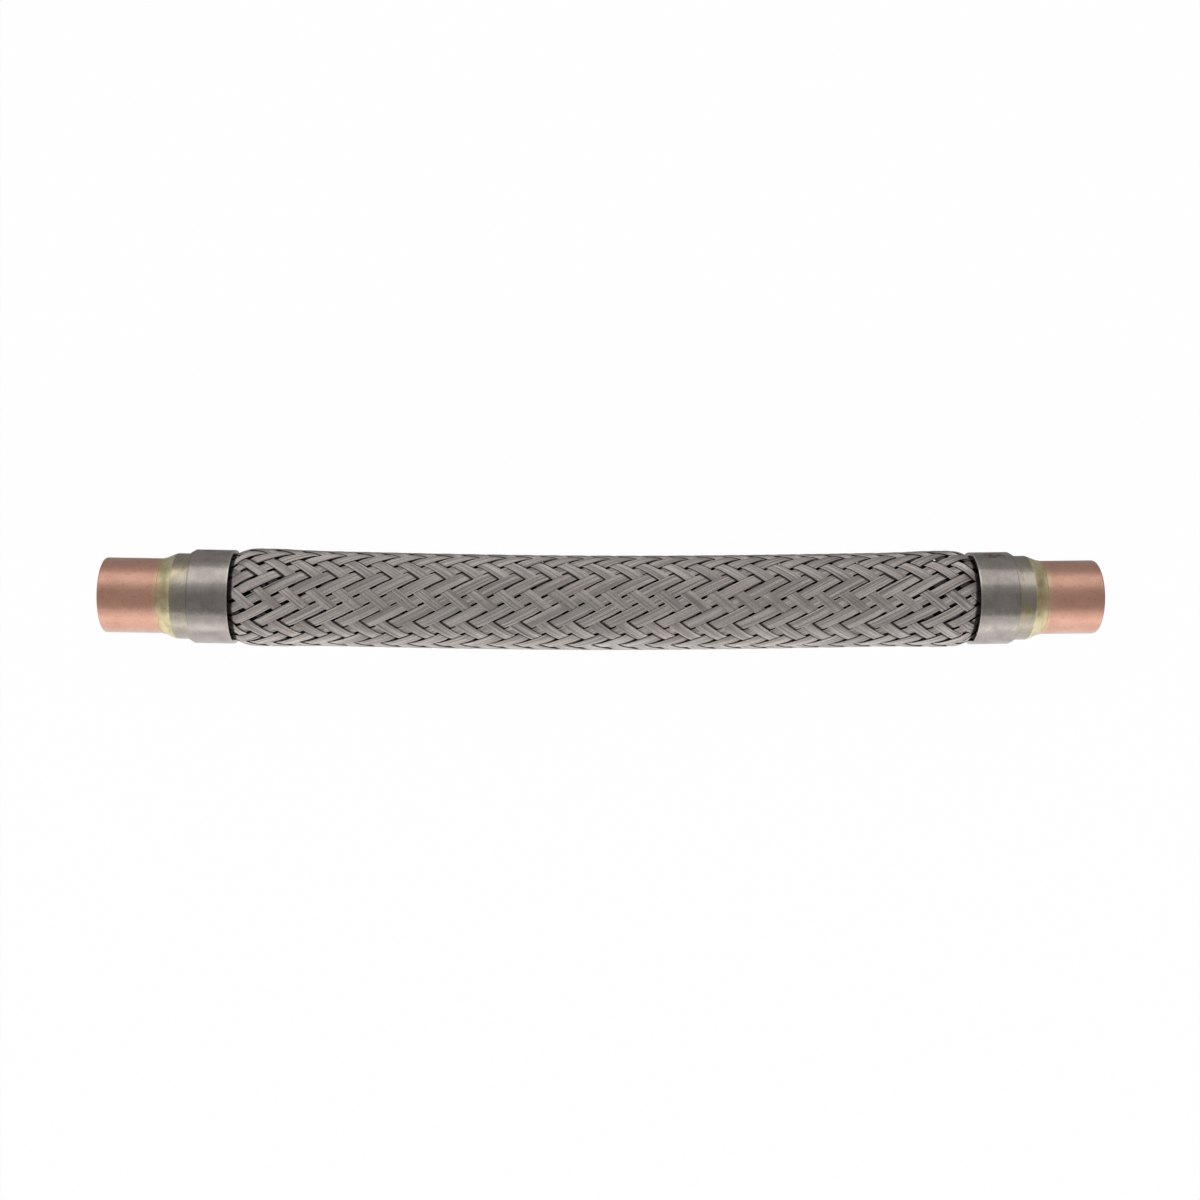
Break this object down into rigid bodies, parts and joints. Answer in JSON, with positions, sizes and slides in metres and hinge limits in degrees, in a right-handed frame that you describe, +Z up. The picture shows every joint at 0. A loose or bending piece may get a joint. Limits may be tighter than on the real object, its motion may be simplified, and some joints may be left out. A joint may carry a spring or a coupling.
{
  "type": "vibration eliminator",
  "caption": "Corrugated metal hose in a braided steel sleeve, ferruled at both ends onto copper solder sockets, for keeping vibration out of a refrigeration line.",
  "frame": {"origin": "middle of the hose, at the centre of the part's box", "axes": "+X along the part towards its right end, +Z up as it lies, +Y away from the side that the slight bow sags to"},
  "size_m": [0.2402, 0.0245, 0.0238],
  "materials": {
    "copper": "drawn copper, dulled to a pinkish brown satin",
    "braze": "greenish yellow filler, smooth where it flowed",
    "satin_steel": "satin, turned, with a faint golden heat tint",
    "braid_wire": "fine drawn wire, warm grey",
    "hose_steel": "thin formed sheet, dull inside the sleeve"
  },
  "bodies": {
    "root": {"corrugated_hose": "hose_steel", "braid_sleeve": "braid_wire", "left_copper_socket": "copper", "left_braze_fillet": "braze", "left_end_adapter": "satin_steel", "left_collar_weld": "satin_steel", "left_ferrule": "satin_steel", "left_hose_weld": "hose_steel", "right_copper_socket": "copper", "right_braze_fillet": "braze", "right_end_adapter": "satin_steel", "right_collar_weld": "satin_steel", "right_ferrule": "satin_steel", "right_hose_weld": "hose_steel"}
  },
  "joints": []
}
